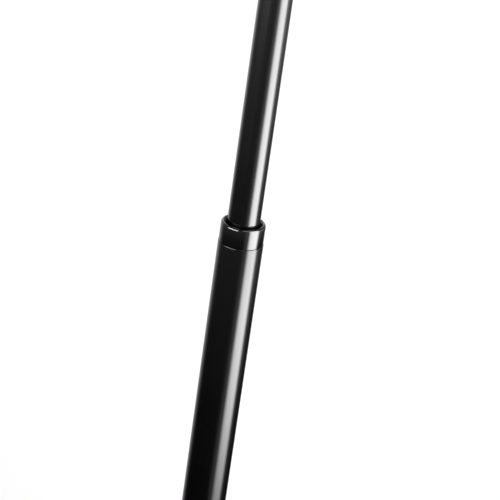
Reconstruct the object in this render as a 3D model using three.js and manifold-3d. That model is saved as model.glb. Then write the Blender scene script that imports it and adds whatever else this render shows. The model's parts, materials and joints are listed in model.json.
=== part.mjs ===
// An orchestra music stand: a three-legged base, a base tube with a moulded collar, a mast that is held at any
// height by a friction clutch inside the base tube, a friction tilt neck, and a sheet-metal desk with a ledge.
// Millimetres, +Z up. The musician stands at -Y. The origin is on the floor, at the centre of the footprint.
import * as THREE from "three";
import { mergeVertices } from "three/addons/utils/BufferGeometryUtils.js";
import Module from "manifold-3d";

const wasm = await Module();
wasm.setup();

// ---------------------------------------------------------------- driving dimensions
const gap = 0.3; // between two pieces that touch or are fastened together
const runningGap = 0.15; // between a piece that moves and what guides it

const roundSides = 24; // of tubes, collar and clutch
const smallSides = 16; // of bolts, washers and rivets

const mast = { radius: 10.3, wall: 1.2, length: 565, raised: 350 }; // raised: above the collar, as modelled
const guideSpace = 4; // from the mast's surface to the base tube's surface
const baseTube = { radius: mast.radius + guideSpace, wall: 1.4, top: 725 };

const collar = {
  height: 13.2, // above the base tube's end
  step: 0.25, // how far its side lies inside the base tube's surface
  rimWall: 2.5,
  rimFillet: 1.4,
  well: 8, // depth of the open well round the mast
  web: 2.2, // thickness of the ring that keeps the bush down
  spigot: 22, // length inside the base tube
  spigotWall: 0.8,
  lip: 1.6, // at the spigot's foot, under the bush
};
const bushSlit = 1.6;

const hub = { radius: 37, bottom: 58, drum: 48, sleeve: 18, sleeveWall: 4.5, pocket: 10, floor: 8, edge: 3 };
const leg = { radius: 9.5, wall: 1.6, height: 84, socket: 20, straight: 27, reach: 256, slope: 58, endStraight: 28 };
const foot = { wall: 3.5, cover: 24, lift: 13 }; // lift: height of the leg's end above the floor
const legAngles = { back: 90, left: 210, right: 330 };

const m6 = { radius: 3, head: 5, headHeight: 6, acrossFlats: 10, nutHeight: 6 };
const m8 = { radius: 4, acrossFlats: 13, headHeight: 5.3, nutHeight: 7.8 };
const washer = { thickness: 1.6, overhang: 4 };
const basePlugLength = 16;

const clutch = {
  plug: 22, // length of the end plug inside the mast
  flange: 3,
  pin: 1.5,
  lip: 4, // cylindrical part of each cone
  taper: 15, // tapered part of each cone
  rim: 10.4, // radius of a cone's large end
  tip: 7, // radius of a cone's small end
  shoe: 38, // length of the friction shoes
  slot: 1.6, // between the two shoes
  spring: 16, // length of the spring as fitted
  springTurns: 4,
  springRadius: 6,
  wire: 0.9,
};

const neck = { spigot: 34, flange: 6, flangeRadius: 13, eye: 15, width: 22, depth: 19, rise: 32, pin: 2 };
const bracket = { thickness: 3, width: 76, height: 92, corner: 10, ear: 15, rivetX: 27, rivetZ: 34 };
const frictionWasher = { thickness: 1.5, radius: 13 };
const rivet = { shank: 2.5, head: 5, dome: 1.6 };

const desk = {
  width: 508,
  height: 318,
  sheet: 1.5,
  offset: 32, // from the tilt axis to the panel's back face
  below: 130, // from the tilt axis down to the panel's bottom edge
  corner: 18,
  rim: 10, // depth of the edge folded back all round
  lean: 25, // degrees back from upright, as modelled
};
const ledge = { width: 500, depth: 55, lip: 14, tab: 20, bend: 4, rivets: 5, rivetMargin: 24 };

// ---------------------------------------------------------------- finishes
function finish(color, roughness, metalness) {
  return new THREE.MeshStandardMaterial({ color, roughness, metalness });
}
const blackPowderCoat = finish("#151516", 0.42, 0.0);
const blackGlossPaint = finish("#101011", 0.25, 0.0);
const blackMoulding = finish("#1b1b1c", 0.22, 0.0);
const blackRubber = finish("#1c1c1c", 0.85, 0.0);
const whiteNylon = finish("#d9d6cc", 0.45, 0.0);
const shoeMoulding = finish("#6b4a33", 0.6, 0.0);
const zincPlate = finish("#b9bcc0", 0.3, 0.9);
const springSteel = finish("#8d8f93", 0.32, 1.0);
const blackenedSteel = finish("#26272a", 0.4, 0.7);
const redFibre = finish("#7a3b2c", 0.7, 0.0);

// ---------------------------------------------------------------- solid tools
function solidOf(geometry) {
  const flat = geometry.index ? geometry.toNonIndexed() : geometry;
  const bare = new THREE.BufferGeometry().setAttribute("position", flat.getAttribute("position").clone());
  const merged = mergeVertices(bare, 1e-4);
  return new wasm.Manifold(
    new wasm.Mesh({
      numProp: 3,
      vertProperties: merged.attributes.position.array,
      triVerts: new Uint32Array(merged.index.array),
    }),
  );
}

function geometryOf(solid) {
  const mesh = solid.getMesh();
  const geometry = new THREE.BufferGeometry();
  geometry.setAttribute("position", new THREE.BufferAttribute(mesh.vertProperties, 3));
  geometry.setIndex(new THREE.BufferAttribute(mesh.triVerts, 1));
  const faceted = geometry.toNonIndexed();
  faceted.computeVertexNormals();
  return faceted;
}

function join(...geometries) {
  return geometryOf(geometries.map(solidOf).reduce((a, b) => a.add(b)));
}

function cut(geometry, ...tools) {
  return geometryOf(tools.map(solidOf).reduce((a, b) => a.subtract(b), solidOf(geometry)));
}

// A profile of [radius, z] points, anticlockwise with the radius to the right, turned about the Z axis.
function turned(profile, sides = roundSides) {
  const closed = profile[0][0] > 0 ? [...profile, profile[0]] : profile;
  const points = closed.map(([r, z]) => new THREE.Vector2(r, z));
  return new THREE.LatheGeometry(points, sides).rotateX(Math.PI / 2);
}

function rod(radius, low, high, sides = roundSides) {
  return turned([[0, low], [radius, low], [radius, high], [0, high]], sides);
}

function ring(inner, outer, low, high, sides = roundSides) {
  return turned([[inner, low], [outer, low], [outer, high], [inner, high]], sides);
}

function hexRod(acrossFlats, low, high) {
  return rod(acrossFlats / Math.sqrt(3), low, high, 6);
}

function block(x0, x1, y0, y1, z0, z1) {
  const box = new THREE.BoxGeometry(x1 - x0, y1 - y0, z1 - z0);
  return box.translate((x0 + x1) / 2, (y0 + y1) / 2, (z0 + z1) / 2);
}

function radians(degrees) {
  return THREE.MathUtils.degToRad(degrees);
}

// Points on part of an ellipse, from one angle to another in degrees, for a profile or an outline.
function arc(x, y, radiusX, radiusY, from, to, steps = 2) {
  return Array.from({ length: steps + 1 }, (_, i) => {
    const angle = radians(from + ((to - from) * i) / steps);
    return [x + radiusX * Math.cos(angle), y + radiusY * Math.sin(angle)];
  });
}

function outline(points) {
  return new THREE.Shape(points.map(([x, y]) => new THREE.Vector2(x, y)));
}

function roundedRectangle(width, bottom, top, radius) {
  const right = width / 2 - radius;
  const steps = 4;
  return outline([
    ...arc(right, bottom + radius, radius, radius, -90, 0, steps),
    ...arc(right, top - radius, radius, radius, 0, 90, steps),
    ...arc(-right, top - radius, radius, radius, 90, 180, steps),
    ...arc(-right, bottom + radius, radius, radius, 180, 270, steps),
  ]);
}

// An outline in X and Z made into a sheet between two values of Y.
function sheetXZ(shape, front, back) {
  const sheet = new THREE.ExtrudeGeometry(shape, { depth: back - front, bevelEnabled: false });
  return sheet.rotateX(Math.PI / 2).translate(0, back, 0);
}

// An outline in Y and Z made into a bar of the given width, centred on X = 0.
function barAlongX(shape, width) {
  const bar = new THREE.ExtrudeGeometry(shape, { depth: width, bevelEnabled: false });
  return bar.rotateX(Math.PI / 2).rotateZ(Math.PI / 2).translate(-width / 2, 0, 0);
}

// What was made along +Z now points along +X or +Y.
function along(axis, geometry) {
  return axis === "x" ? geometry.rotateY(Math.PI / 2) : geometry.rotateX(-Math.PI / 2);
}

function node(name, geometry, material) {
  const mesh = new THREE.Mesh(geometry, material);
  mesh.name = name;
  return mesh;
}

// ---------------------------------------------------------------- base
const pocketTop = hub.bottom + hub.pocket;
const tubeFoot = pocketTop + hub.floor; // the base tube stands on the hub's floor
const drumTop = hub.bottom + hub.drum;
const sleeveTop = drumTop + hub.sleeve;
const socketEnd = baseTube.radius + gap + 2.2;
const boltCircle = socketEnd + leg.socket / 2;
const screwSeat = drumTop - m6.headHeight - 0.5;
const screwTip = hub.bottom + 5;

function baseHub() {
  const sleeve = baseTube.radius + hub.sleeveWall;
  const tubeBore = baseTube.radius + gap;
  const corner = hub.radius - hub.edge;
  const body = turned([
    [m8.radius + gap, pocketTop],
    [m8.acrossFlats, pocketTop],
    [m8.acrossFlats, hub.bottom],
    ...arc(corner, hub.bottom + hub.edge, hub.edge, hub.edge, -90, 0),
    ...arc(corner, drumTop - hub.edge, hub.edge, hub.edge, 0, 90),
    ...arc(sleeve + 3, drumTop + 3, -3, -3, 90, 0),
    [sleeve, sleeveTop - 2],
    [sleeve - 2, sleeveTop],
    [tubeBore, sleeveTop],
    [tubeBore, tubeFoot],
    [m8.radius + gap, tubeFoot],
  ]);
  const holes = Object.values(legAngles).flatMap((angle) => {
    const socket = along("x", rod(leg.radius + gap, socketEnd, hub.radius + 10)).translate(0, 0, leg.height);
    const hole = rod(m6.radius + gap, screwTip - 1, drumTop, smallSides).translate(boltCircle, 0, 0);
    const counterbore = rod(m6.head + gap, screwSeat, drumTop + 1, smallSides).translate(boltCircle, 0, 0);
    return [socket, hole, counterbore].map((tool) => tool.rotateZ(radians(angle)));
  });
  return cut(body, ...holes);
}

// The leg's centre line: straight out of the hub, one long bend down, and a straight end inside the foot.
const slope = radians(leg.slope);
const downLeg = new THREE.Vector3(Math.cos(slope), 0, -Math.sin(slope));
const legTip = new THREE.Vector3(leg.reach - foot.lift / Math.tan(slope), 0, foot.lift);

function legPath() {
  const inHub = new THREE.Vector3(socketEnd + gap, 0, leg.height);
  const bendStart = new THREE.Vector3(hub.radius + leg.straight, 0, leg.height);
  const bendEnd = legTip.clone().addScaledVector(downLeg, -leg.endStraight);
  const pull = (bendEnd.x - bendStart.x) / 2;
  const path = new THREE.CurvePath();
  path.add(new THREE.LineCurve3(inHub, bendStart));
  path.add(
    new THREE.CubicBezierCurve3(
      bendStart,
      bendStart.clone().setX(bendStart.x + pull),
      bendEnd.clone().addScaledVector(downLeg, -pull / 2),
      bendEnd,
    ),
  );
  path.add(new THREE.LineCurve3(bendEnd, legTip));
  return path;
}

function legTube() {
  const section = new THREE.Shape().absarc(0, 0, leg.radius, 0, 2 * Math.PI);
  section.holes.push(new THREE.Path().absarc(0, 0, leg.radius - leg.wall, 0, 2 * Math.PI));
  const tube = new THREE.ExtrudeGeometry(section, { extrudePath: legPath(), steps: 14, curveSegments: 7 });
  return cut(tube, rod(m6.radius + gap, screwTip, drumTop, smallSides).translate(boltCircle, 0, 0));
}

// A rubber ferrule on the leg's end, flat where it stands on the floor.
function footFerrule() {
  const bore = leg.radius + gap;
  const outer = leg.radius + foot.wall;
  const profile = [
    [0, -2 * foot.lift],
    [outer, -2 * foot.lift],
    [outer, foot.cover - 5],
    [outer - 1.5, foot.cover],
    [bore, foot.cover],
    [bore, -gap],
    [0, -gap],
  ];
  const ferrule = turned(profile, 24).rotateY(slope - Math.PI / 2).translate(legTip.x, 0, legTip.z);
  return cut(ferrule, block(0, 2 * leg.reach, -2 * outer, 2 * outer, -4 * foot.lift, 0));
}

function legScrew() {
  const top = screwSeat + m6.headHeight;
  const profile = [
    [0, screwTip],
    [m6.radius, screwTip],
    [m6.radius, screwSeat],
    [m6.head, screwSeat],
    [m6.head, top - 0.6],
    [m6.head - 0.6, top],
    [0, top],
  ];
  const socket = hexRod(m6.acrossFlats / 2, top - m6.headHeight / 2, top + 1);
  return cut(turned(profile, smallSides), socket).translate(boltCircle, 0, 0);
}

function legSet(side, angle) {
  const set = new THREE.Group();
  set.rotation.z = radians(angle);
  return set.add(
    node(`${side}_leg`, legTube(), blackPowderCoat),
    node(`${side}_leg_screw`, legScrew(), zincPlate),
    node(`${side}_foot`, footFerrule(), blackRubber),
  );
}

// The base bolt draws the plug, and the base tube that is swaged on it, down on the hub's floor.
const basePlugFoot = tubeFoot + gap;
const tubeBore = baseTube.radius - baseTube.wall;

function basePlug() {
  return ring(m8.radius + gap, tubeBore - gap, basePlugFoot, basePlugFoot + basePlugLength);
}

function baseWasher() {
  const top = pocketTop - gap;
  return ring(m8.radius + gap, m8.radius + washer.overhang + 2, top - washer.thickness, top, smallSides);
}

function baseBolt() {
  const seat = pocketTop - 2 * gap - washer.thickness;
  const shank = rod(m8.radius, seat - 1, basePlugFoot + basePlugLength - 2, smallSides);
  return join(hexRod(m8.acrossFlats, seat - m8.headHeight, seat), shank);
}

// ---------------------------------------------------------------- base tube, collar and bush
const collarTop = baseTube.top + collar.height;
const wellFloor = collarTop - collar.well;
const webFoot = wellFloor - collar.web;
const spigotFoot = baseTube.top - collar.spigot;
const bushSeat = tubeBore - gap - collar.spigotWall; // radius of the spigot's bore

function collarMoulding() {
  const side = baseTube.radius - collar.step;
  const mouth = side - collar.rimWall;
  const shoulder = collarTop - collar.rimFillet;
  const inside = collar.rimWall - collar.rimFillet;
  return turned([
    [mast.radius + 2 * gap, spigotFoot],
    [tubeBore - gap, spigotFoot],
    [tubeBore - gap, baseTube.top + gap],
    [side, baseTube.top + gap],
    ...arc(side - collar.rimFillet, shoulder, collar.rimFillet, collar.rimFillet, 0, 90),
    ...arc(mouth + inside, collarTop - inside, inside, inside, 90, 180),
    [mouth, wellFloor],
    [mast.radius + gap, wellFloor],
    [mast.radius + gap, webFoot],
    [bushSeat, webFoot],
    [bushSeat, spigotFoot + collar.lip],
    [mast.radius + 2 * gap, spigotFoot + collar.lip],
  ]);
}

// Slit along one side, so that it can be sprung in past the lip at the spigot's foot.
function guideBush() {
  const sleeve = ring(mast.radius + runningGap, bushSeat - gap, spigotFoot + collar.lip + gap, webFoot - gap);
  return cut(sleeve, block(0, bushSeat, -bushSlit / 2, bushSlit / 2, spigotFoot, webFoot));
}

// ---------------------------------------------------------------- mast and friction clutch
const mastTop = collarTop + mast.raised;
const mastFoot = mastTop - mast.length;
const mastBore = mast.radius - mast.wall;
const neckPinHeight = mastTop - neck.spigot / 2;
const plugPinHeight = mastFoot + clutch.plug / 2;

function crossPin(radius, height) {
  const half = mast.radius - gap;
  return along("y", rod(radius, -half, half, 12)).translate(0, 0, height);
}

function crossHole(radius, height) {
  return along("y", rod(radius + gap, -2 * mast.radius, 2 * mast.radius, 12)).translate(0, 0, height);
}

function mastTube() {
  const tube = ring(mastBore, mast.radius, mastFoot, mastTop);
  return cut(tube, crossHole(neck.pin, neckPinHeight), crossHole(clutch.pin, plugPinHeight));
}

// From the mast's foot down: plug, thrust washer, upper cone, shoes, lower cone, spring, washer and nut.
const flangeFoot = mastFoot - gap - clutch.flange;
const thrustFoot = flangeFoot - gap - washer.thickness;
const upperLipFoot = thrustFoot - gap - clutch.lip;
const shoeTop = upperLipFoot - gap;
const shoeFoot = shoeTop - clutch.shoe;
const lowerLipTop = shoeFoot - gap;
const lowerLipFoot = lowerLipTop - clutch.lip;
const springTop = lowerLipFoot - gap;
const springFoot = springTop - clutch.spring;
const springWasherFoot = springFoot - gap - washer.thickness;
const clutchNutFoot = springWasherFoot - gap - m6.nutHeight;
const spindleHole = m6.radius + gap;

function endPlug() {
  const body = turned([
    [spindleHole, flangeFoot],
    [mast.radius, flangeFoot],
    [mast.radius, flangeFoot + clutch.flange],
    [mastBore - gap, flangeFoot + clutch.flange],
    [mastBore - gap, mastFoot + clutch.plug],
    [spindleHole, mastFoot + clutch.plug],
  ]);
  return cut(body, crossHole(clutch.pin, plugPinHeight));
}

// The pin passes either side of the spindle, so each half of it is a pin of its own.
function spindle() {
  const top = plugPinHeight - clutch.pin - 2 * gap;
  return rod(m6.radius, clutchNutFoot - 4, top, smallSides);
}

function thrustWasher() {
  return ring(spindleHole, clutch.rim, thrustFoot, thrustFoot + washer.thickness);
}

function upperCone() {
  return turned([
    [spindleHole, upperLipFoot - clutch.taper],
    [clutch.tip, upperLipFoot - clutch.taper],
    [clutch.rim, upperLipFoot],
    [clutch.rim, upperLipFoot + clutch.lip],
    [spindleHole, upperLipFoot + clutch.lip],
  ]);
}

function lowerCone() {
  return turned([
    [spindleHole, lowerLipFoot],
    [clutch.rim, lowerLipFoot],
    [clutch.rim, lowerLipTop],
    [clutch.tip, lowerLipTop + clutch.taper],
    [spindleHole, lowerLipTop + clutch.taper],
  ]);
}

// The two shoes are one sleeve with a cone at each end, split lengthways.
function shoe(side) {
  const outer = tubeBore - runningGap;
  const rim = clutch.rim + gap;
  const throat = clutch.tip + gap;
  const sleeve = turned([
    [rim, shoeFoot],
    [outer, shoeFoot],
    [outer, shoeTop],
    [rim, shoeTop],
    [throat, shoeTop - clutch.taper],
    [throat, shoeFoot + clutch.taper],
  ]);
  const wide = 2 * outer;
  const otherHalf = block(-wide, clutch.slot / 2, -wide, wide, shoeFoot - 1, shoeTop + 1);
  return cut(sleeve, side > 0 ? otherHalf : otherHalf.rotateZ(Math.PI));
}

function clutchSpring() {
  const low = springFoot + clutch.wire;
  const rise = clutch.spring - 2 * clutch.wire;
  class Helix extends THREE.Curve {
    getPoint(t) {
      const angle = 2 * Math.PI * clutch.springTurns * t;
      const r = clutch.springRadius;
      return new THREE.Vector3(r * Math.cos(angle), r * Math.sin(angle), low + rise * t);
    }
  }
  const section = new THREE.Shape().absarc(0, 0, clutch.wire * 0.97, 0, 2 * Math.PI);
  return new THREE.ExtrudeGeometry(section, {
    extrudePath: new Helix(),
    steps: 12 * clutch.springTurns,
    curveSegments: 3,
  });
}

function springWasher() {
  const outer = clutch.springRadius + clutch.wire + 1;
  return ring(spindleHole, outer, springWasherFoot, springWasherFoot + washer.thickness, smallSides);
}

function clutchNut() {
  const hole = rod(spindleHole, clutchNutFoot - 1, clutchNutFoot + m6.nutHeight + 1, smallSides);
  return cut(hexRod(m6.acrossFlats, clutchNutFoot, clutchNutFoot + m6.nutHeight), hole);
}

// ---------------------------------------------------------------- neck
const tiltHeight = mastTop + neck.rise;

function neckCasting() {
  const flangeFootHeight = mastTop + gap;
  const flangeTop = flangeFootHeight + neck.flange;
  const stub = turned([
    [0, mastTop - neck.spigot],
    [mastBore - gap, mastTop - neck.spigot],
    [mastBore - gap, flangeFootHeight],
    [neck.flangeRadius - 1, flangeFootHeight],
    [neck.flangeRadius, flangeFootHeight + 1],
    [neck.flangeRadius, flangeTop - 2],
    [neck.flangeRadius - 2, flangeTop],
    [0, flangeTop],
  ]);
  const x = neck.width / 2;
  const y = neck.depth / 2;
  const stem = block(-x, x, -y, y, flangeTop - 3, tiltHeight);
  const eye = along("x", rod(neck.eye, -x, x)).translate(0, 0, tiltHeight);
  const boltHole = along("x", rod(m8.radius + gap, -2 * x, 2 * x, smallSides)).translate(0, 0, tiltHeight);
  return cut(join(stub, stem, eye), boltHole, crossHole(neck.pin, neckPinHeight));
}

// ---------------------------------------------------------------- desk, drawn upright with the tilt axis at zero
const frictionWasherSide = neck.width / 2 + gap;
const earInside = frictionWasherSide + frictionWasher.thickness + gap;
const earOutside = earInside + bracket.thickness;
const tiltWasherSide = earOutside + gap;
const boltHeadSide = tiltWasherSide + washer.thickness + gap;
const panelBack = -desk.offset;
const panelFront = panelBack - desk.sheet;
const bracketFront = panelBack + gap;
const tabBack = panelFront - gap;
const tabFront = tabBack - desk.sheet;
const ledgeFoot = -desk.below;
const ledgeFront = tabBack - ledge.depth;
const tabRivetHeight = ledgeFoot + ledge.tab * 0.6;
const bracketRivets = { upper_left: [-1, 1], upper_right: [1, 1], lower_left: [-1, -1], lower_right: [1, -1] };

function ledgeRivetPlace(index) {
  const span = ledge.width - 2 * ledge.rivetMargin;
  return (index / (ledge.rivets - 1) - 0.5) * span;
}

function rivetHole(x, z) {
  return along("y", rod(rivet.shank + gap, -2 * desk.offset, 0, 12)).translate(x, 0, z);
}

function tiltHole() {
  return along("x", rod(m8.radius + gap, -desk.width / 2, desk.width / 2, smallSides));
}

function bracketPlate() {
  const back = bracketFront + bracket.thickness;
  const plate = roundedRectangle(bracket.width, -bracket.height / 2, bracket.height / 2, bracket.corner);
  const ears = [earInside, -earOutside].flatMap((x) => [
    block(x, x + bracket.thickness, back - 1, 0, -bracket.ear, bracket.ear),
    along("x", rod(bracket.ear, x, x + bracket.thickness)),
  ]);
  const places = Object.values(bracketRivets).map(([x, z]) => [x * bracket.rivetX, z * bracket.rivetZ]);
  return cut(join(sheetXZ(plate, bracketFront, back), ...ears), tiltHole(), ...places.map((p) => rivetHole(...p)));
}

function deskPanel() {
  const top = desk.height - desk.below;
  const outer = roundedRectangle(desk.width, -desk.below, top, desk.corner);
  const t = desk.sheet;
  const inner = roundedRectangle(desk.width - 2 * t, t - desk.below, top - t, desk.corner - t);
  const rimBack = panelFront + desk.rim;
  const pan = cut(sheetXZ(outer, panelFront, rimBack), sheetXZ(inner, panelBack, rimBack + 1));
  const bracketHoles = Object.values(bracketRivets).map(([x, z]) => rivetHole(x * bracket.rivetX, z * bracket.rivetZ));
  const ledgeHoles = Array.from({ length: ledge.rivets }, (_, i) => rivetHole(ledgeRivetPlace(i), tabRivetHeight));
  return cut(pan, ...bracketHoles, ...ledgeHoles);
}

function ledgeStrip() {
  const t = desk.sheet;
  const outside = ledge.bend;
  const inside = ledge.bend - t;
  const bendHeight = ledgeFoot + ledge.bend;
  const lipTop = ledgeFoot + t + ledge.lip;
  const section = outline([
    [tabBack, ledgeFoot + ledge.tab],
    [tabFront, ledgeFoot + ledge.tab],
    ...arc(tabBack - outside, bendHeight, inside, inside, 0, -90),
    ...arc(ledgeFront + outside, bendHeight, inside, inside, -90, -180),
    [ledgeFront + t, lipTop],
    [ledgeFront, lipTop],
    ...arc(ledgeFront + outside, bendHeight, outside, outside, -180, -90),
    ...arc(tabBack - outside, bendHeight, outside, outside, -90, 0),
  ]);
  const holes = Array.from({ length: ledge.rivets }, (_, i) => rivetHole(ledgeRivetPlace(i), tabRivetHeight));
  return cut(barAlongX(section, ledge.width), ...holes);
}

// A domed head in front of the front face, and the head formed behind the back face.
function rivetThrough(front, back, x, z) {
  const head = front - gap;
  const formed = back + gap;
  const profile = [
    ...arc(0, head, rivet.head, rivet.dome, -90, 0),
    [rivet.shank, head],
    [rivet.shank, formed],
    ...arc(0, formed, rivet.head * 0.85, rivet.dome, 0, 90),
  ];
  return along("y", turned(profile, 12)).translate(x, 0, z);
}

function tiltBolt() {
  const end = boltHeadSide + m8.nutHeight + 2;
  const shank = rod(m8.radius, -end, boltHeadSide + 1, smallSides);
  return along("x", join(hexRod(m8.acrossFlats, boltHeadSide, boltHeadSide + m8.headHeight), shank));
}

function tiltNut() {
  const far = -boltHeadSide - m8.nutHeight;
  const hole = rod(m8.radius + gap, far - 1, 1 - boltHeadSide, smallSides);
  return along("x", cut(hexRod(m8.acrossFlats, far, -boltHeadSide), hole));
}

function sideWasher(side, inner, outer, near, thickness) {
  const low = side > 0 ? near : -near - thickness;
  return along("x", ring(inner, outer, low, low + thickness, 24));
}

function deskAssembly() {
  const hole = m8.radius + gap;
  const plainWasher = m8.radius + washer.overhang;
  const assembly = new THREE.Group();
  assembly.position.z = tiltHeight;
  assembly.rotation.x = -radians(desk.lean);
  assembly.add(
    node("tilt_bolt", tiltBolt(), zincPlate),
    node("tilt_nut", tiltNut(), zincPlate),
    node("desk_bracket", bracketPlate(), blackPowderCoat),
    node("desk_panel", deskPanel(), blackPowderCoat),
    node("ledge", ledgeStrip(), blackPowderCoat),
  );
  for (const [name, side] of [["left", -1], ["right", 1]]) {
    const friction = sideWasher(side, hole, frictionWasher.radius, frictionWasherSide, frictionWasher.thickness);
    const plain = sideWasher(side, hole, plainWasher, tiltWasherSide, washer.thickness);
    assembly.add(
      node(`friction_washer_${name}`, friction, redFibre),
      node(`tilt_washer_${name}`, plain, zincPlate),
    );
  }
  for (const [name, [x, z]] of Object.entries(bracketRivets)) {
    const back = bracketFront + bracket.thickness;
    const place = [x * bracket.rivetX, z * bracket.rivetZ];
    assembly.add(node(`bracket_rivet_${name}`, rivetThrough(panelFront, back, ...place), blackenedSteel));
  }
  for (let i = 0; i < ledge.rivets; i++) {
    const rivetSolid = rivetThrough(tabFront, panelBack, ledgeRivetPlace(i), tabRivetHeight);
    assembly.add(node(`ledge_rivet_${i + 1}`, rivetSolid, blackenedSteel));
  }
  return assembly;
}

// ---------------------------------------------------------------- the stand
// The column stands in front of the origin, so that the footprint of one leg behind and two in front is centred.
const stand = new THREE.Group();
stand.position.y = -leg.reach / 4;
stand.add(
  node("base_hub", baseHub(), blackPowderCoat),
  ...Object.entries(legAngles).map(([side, angle]) => legSet(side, angle)),
  node("base_plug", basePlug(), zincPlate),
  node("base_washer", baseWasher(), zincPlate),
  node("base_bolt", baseBolt(), zincPlate),
  node("base_tube", ring(tubeBore, baseTube.radius, tubeFoot, baseTube.top), blackGlossPaint),
  node("collar", collarMoulding(), blackMoulding),
  node("guide_bush", guideBush(), whiteNylon),
  node("mast", mastTube(), blackGlossPaint),
  node("mast_end_plug", endPlug(), zincPlate),
  node("end_plug_pin", crossPin(clutch.pin, plugPinHeight), springSteel),
  node("clutch_spindle", spindle(), zincPlate),
  node("clutch_thrust_washer", thrustWasher(), whiteNylon),
  node("clutch_upper_cone", upperCone(), zincPlate),
  node("clutch_shoe_left", shoe(-1), shoeMoulding),
  node("clutch_shoe_right", shoe(1), shoeMoulding),
  node("clutch_lower_cone", lowerCone(), zincPlate),
  node("clutch_spring", clutchSpring(), springSteel),
  node("clutch_spring_washer", springWasher(), zincPlate),
  node("clutch_nut", clutchNut(), zincPlate),
  node("neck", neckCasting(), blackPowderCoat),
  node("neck_pin", crossPin(neck.pin, neckPinHeight), springSteel),
  deskAssembly(),
);

export default new THREE.Group().add(stand);
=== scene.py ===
# An orchestra music stand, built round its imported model: base, telescopic column, tilt neck and desk.
# Metres, +Z up. The musician stands at -Y. Sizes below are in millimetres where they are multiplied by mm.
import json
import math

import bpy
from mathutils import Matrix, Vector


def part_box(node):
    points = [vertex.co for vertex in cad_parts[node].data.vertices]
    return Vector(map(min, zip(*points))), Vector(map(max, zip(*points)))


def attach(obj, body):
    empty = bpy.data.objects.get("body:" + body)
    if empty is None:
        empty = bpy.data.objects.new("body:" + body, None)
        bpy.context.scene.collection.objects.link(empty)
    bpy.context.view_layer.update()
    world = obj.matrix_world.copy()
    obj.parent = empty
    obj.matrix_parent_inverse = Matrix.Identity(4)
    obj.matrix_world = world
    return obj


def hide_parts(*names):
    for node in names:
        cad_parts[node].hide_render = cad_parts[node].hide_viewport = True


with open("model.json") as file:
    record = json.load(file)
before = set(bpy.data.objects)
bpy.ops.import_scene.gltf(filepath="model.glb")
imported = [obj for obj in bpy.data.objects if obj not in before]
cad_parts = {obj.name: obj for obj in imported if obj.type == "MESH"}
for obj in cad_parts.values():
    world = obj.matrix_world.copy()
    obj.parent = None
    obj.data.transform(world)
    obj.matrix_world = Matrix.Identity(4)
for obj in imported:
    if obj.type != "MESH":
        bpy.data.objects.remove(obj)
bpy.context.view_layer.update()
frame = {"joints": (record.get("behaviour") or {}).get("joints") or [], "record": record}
mm = 0.001


# ---------------------------------------------------------------- base hub
# A grey-iron sand casting, turned on its bores and powder coated black. The base tube stands in its long
# sleeve and the three legs in sockets round its drum.
def deselect():
    """Leaves edit mode with nothing selected, since an operator acts on all that is."""
    if bpy.context.object and bpy.context.object.mode != "OBJECT":
        bpy.ops.object.mode_set(mode="OBJECT")
    bpy.ops.object.select_all(action="DESELECT")


def work_on(piece):
    """Selects one piece and nothing else."""
    deselect()
    piece.select_set(True)
    bpy.context.view_layer.objects.active = piece


def edit_all(piece):
    """Goes into edit mode with the whole of a piece selected."""
    work_on(piece)
    bpy.ops.object.mode_set(mode="EDIT")
    bpy.ops.mesh.select_all(action="SELECT")


def rounded(corners, closed=True):
    """The points of an outline whose corners, (across, up, radius) or just (across, up), are rounded off."""
    points = []
    for i, corner in enumerate(corners):
        here = Vector(corner[:2])
        radius = corner[2] if len(corner) > 2 else 0
        if not radius or (not closed and i in (0, len(corners) - 1)):
            points.append(here)
            continue
        to_last = (Vector(corners[i - 1][:2]) - here).normalized()
        to_next = (Vector(corners[(i + 1) % len(corners)][:2]) - here).normalized()
        half = to_last.angle(to_next) / 2
        centre = here + (to_last + to_next).normalized() * radius / math.sin(half)
        start = here + to_last * radius / math.tan(half) - centre
        end = here + to_next * radius / math.tan(half) - centre
        swing = start.angle_signed(end)
        steps = max(2, round(abs(swing) / math.radians(12)))
        for step in range(steps + 1):
            turn = Matrix.Rotation(-swing * step / steps, 2)
            points.append(centre + turn @ start)
    return points


def draw(name, points, closed=True):
    """A line of vertices through the points, joined up at its end, left selected in edit mode."""
    deselect()
    bpy.ops.mesh.primitive_plane_add(size=mm)
    piece = bpy.context.object
    piece.name = name
    bpy.ops.object.mode_set(mode="EDIT")
    bpy.ops.mesh.merge(type="CENTER")
    bpy.ops.transform.translate(value=points[0])
    path = [*points, points[0]] if closed else points
    for last, point in zip(path, path[1:]):
        bpy.ops.mesh.extrude_vertices_move(TRANSFORM_OT_translate={"value": point - last})
    bpy.ops.mesh.select_all(action="SELECT")
    bpy.ops.mesh.remove_doubles(threshold=mm / 1000)
    return piece


def smooth(piece, angle=30):
    """Shades a finished piece smooth except over its sharp edges."""
    work_on(piece)
    bpy.ops.object.shade_smooth_by_angle(angle=math.radians(angle))
    return piece


def turned(name, corners, foot, axis=(0, 0, 1), steps=96):
    """A turned piece: corners (radius, height, rounding) in millimetres, spun about an axis through foot."""
    axis = Vector(axis).normalized()
    across = axis.orthogonal().normalized()
    on_axis = corners[0][0] == 0
    outline = [Vector(foot) + across * p.x * mm + axis * p.y * mm for p in rounded(corners, not on_axis)]
    piece = draw(name, outline, closed=not on_axis)
    bpy.ops.mesh.spin(steps=steps, angle=2 * math.pi, center=foot, axis=axis)
    bpy.ops.mesh.select_all(action="SELECT")
    bpy.ops.mesh.remove_doubles(threshold=mm / 500)
    bpy.ops.mesh.normals_make_consistent(inside=False)
    bpy.ops.object.mode_set(mode="OBJECT")
    return smooth(piece)


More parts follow.
